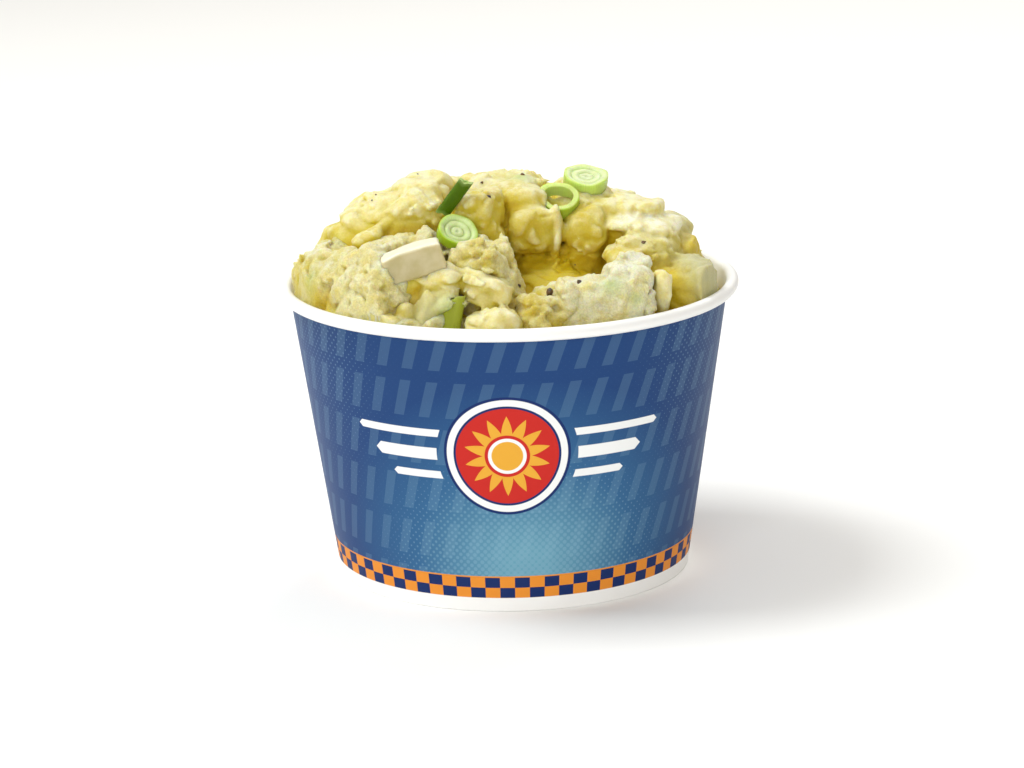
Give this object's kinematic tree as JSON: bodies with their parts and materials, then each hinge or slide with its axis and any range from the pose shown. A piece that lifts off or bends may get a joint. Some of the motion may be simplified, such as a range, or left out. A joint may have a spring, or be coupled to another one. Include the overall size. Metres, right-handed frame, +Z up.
{
  "type": "potato salad",
  "caption": "Potato salad with egg white and green onion, heaped above the rolled rim of a single-wall paper food cup that stands on its foot ring.",
  "frame": {"origin": "middle of the cup's foot, on the surface that it stands on", "axes": "+Z up along the cup's axis; -Y is the front of the heap, the side with the egg white; +X is to the right seen from the front"},
  "size_m": [0.098, 0.098, 0.0876],
  "materials": {
    "printed_board": "semi-gloss coated print, white where bare",
    "base_board": "white, coated",
    "salad": "moist, dressed potato",
    "egg_white": "smooth, moist",
    "onion_green": "moist leaf",
    "onion_pale": "moist, translucent"
  },
  "bodies": {
    "root": {"cup_sidewall": "printed_board", "cup_base": "base_board", "potato_salad": "salad", "egg_white_piece": "egg_white", "onion_leaf_piece": "onion_green", "onion_leaf_front": "onion_green", "onion_slice_front": "onion_pale", "onion_ring_top": "onion_pale", "onion_slice_top": "onion_pale"}
  },
  "joints": []
}
